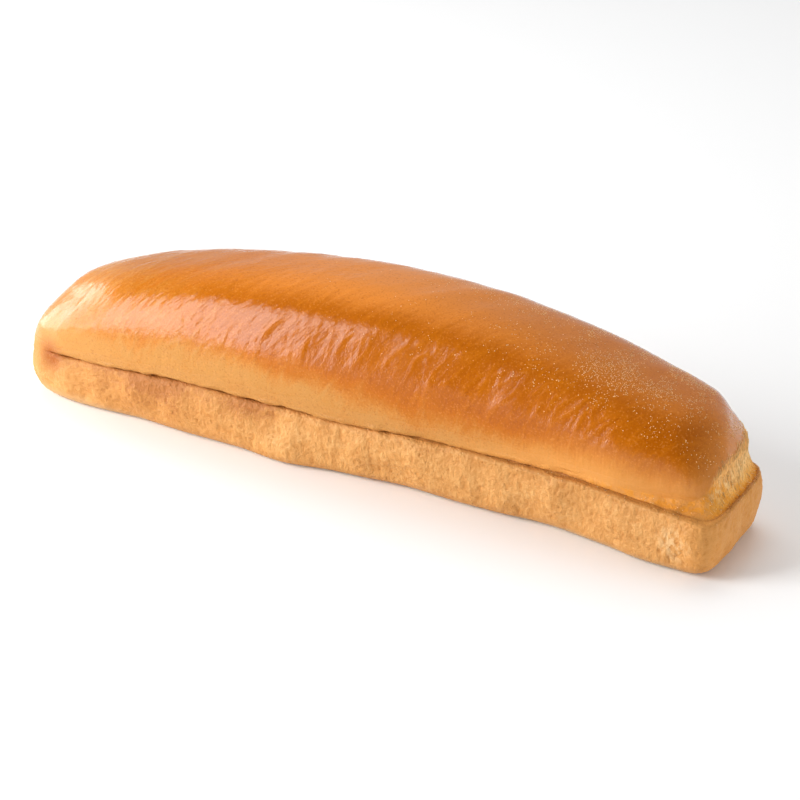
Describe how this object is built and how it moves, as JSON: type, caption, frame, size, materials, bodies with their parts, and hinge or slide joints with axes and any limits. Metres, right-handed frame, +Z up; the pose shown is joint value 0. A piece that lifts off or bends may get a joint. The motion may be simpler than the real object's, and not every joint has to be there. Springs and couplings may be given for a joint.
{
  "type": "hot dog bun",
  "caption": "Long soft uncut hot dog bun, tin-baked, with a glossy domed crown over a straight-sided base, a side crease and one torn end.",
  "frame": {"origin": "middle of the bun's box, on the plane of the sole", "axes": "+X along the bun towards its torn end, -Y towards the side that faces the viewer and bends away at both ends, +Z up from the sole"},
  "size_m": [0.2416, 0.063, 0.0556],
  "materials": {
    "crust": "egg-washed baked crust: deep golden and glossy on the crown, dull pale tan and pebbled on the sides, cream crumb in the torn end"
  },
  "bodies": {
    "root": {"bun": "crust"}
  },
  "joints": []
}
